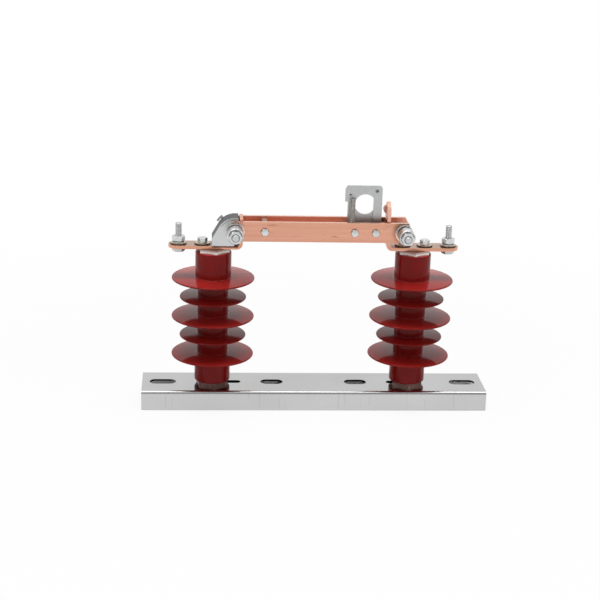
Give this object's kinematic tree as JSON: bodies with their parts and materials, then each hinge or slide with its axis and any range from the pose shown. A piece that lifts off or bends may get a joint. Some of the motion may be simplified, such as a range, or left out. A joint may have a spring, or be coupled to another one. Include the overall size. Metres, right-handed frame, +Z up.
{
  "type": "disconnect switch",
  "caption": "Outdoor knife disconnect switch: twin copper blade hinged between ribbed post insulators on a steel channel, with a sprung pull ring for a hook stick.",
  "frame": {"origin": "on the floor under the middle of the channel base", "axes": "+X along the base from the hinge to the contact, +Y to the back, +Z up"},
  "size_m": [0.525, 0.124, 0.3415],
  "materials": {
    "stainless_base": "polished stainless sheet",
    "stainless_sheet": "plain stainless sheet",
    "zinc_plated_steel": "bright zinc plate",
    "copper": "drawn copper strip, faintly streaked",
    "silicone_rubber": "satin moulded silicone",
    "spring_steel": "dark drawn wire"
  },
  "bodies": {
    "frame": {"base_channel": "stainless_base", "hinge_bracket": "stainless_sheet", "post_bolts": "zinc_plated_steel", "post_washers": "zinc_plated_steel", "terminal_bolts": "zinc_plated_steel", "terminal_nuts": "zinc_plated_steel", "terminal_washers": "zinc_plated_steel", "terminal_spring_washers": "zinc_plated_steel", "plate_screws": "zinc_plated_steel", "plate_washers": "zinc_plated_steel", "plate_spring_washers": "zinc_plated_steel", "hinge_post_foot": "zinc_plated_steel", "contact_post_foot": "zinc_plated_steel", "hinge_post_cap": "zinc_plated_steel", "contact_post_cap": "zinc_plated_steel", "hinge_terminal": "copper", "contact_terminal": "copper", "contact_catch": "copper", "hinge_post_housing": "silicone_rubber", "contact_post_housing": "silicone_rubber"},
    "blade": {"front_blade_bar": "copper", "rear_blade_bar": "copper", "blade_spacer": "copper", "spacer_bolt": "zinc_plated_steel", "spacer_nut": "zinc_plated_steel", "hinge_bolt": "zinc_plated_steel", "hinge_nut": "zinc_plated_steel", "hinge_washers": "zinc_plated_steel", "hinge_spring_cup": "zinc_plated_steel", "hinge_spring": "spring_steel", "clamp_bolt": "zinc_plated_steel", "clamp_nut": "zinc_plated_steel", "clamp_washers": "zinc_plated_steel", "clamp_spring_cup": "zinc_plated_steel", "clamp_spring": "spring_steel", "eye_plate": "stainless_sheet", "eye_bolt": "zinc_plated_steel", "latch_bolt": "zinc_plated_steel", "eye_nuts": "zinc_plated_steel", "eye_sleeve": "zinc_plated_steel", "latch_sleeve": "zinc_plated_steel", "latch_spring": "spring_steel"},
    "latch": {"pull_latch": "stainless_sheet"}
  },
  "joints": [
    {"name": "blade_hinge", "type": "hinge", "parent": "frame", "child": "blade", "pos_m": [-0.125, 0, 0.274], "axis": [0, -1, 0], "range_deg": [0, 90]},
    {"name": "latch_pivot", "type": "hinge", "parent": "blade", "child": "latch", "pos_m": [0.0835, 0, 0.274], "axis": [0, 1, 0], "range_deg": [0, 8], "stiffness_Nm_per_rad": 0.4, "springref_deg": -14.32, "deforming": ["latch_spring"]}
  ]
}
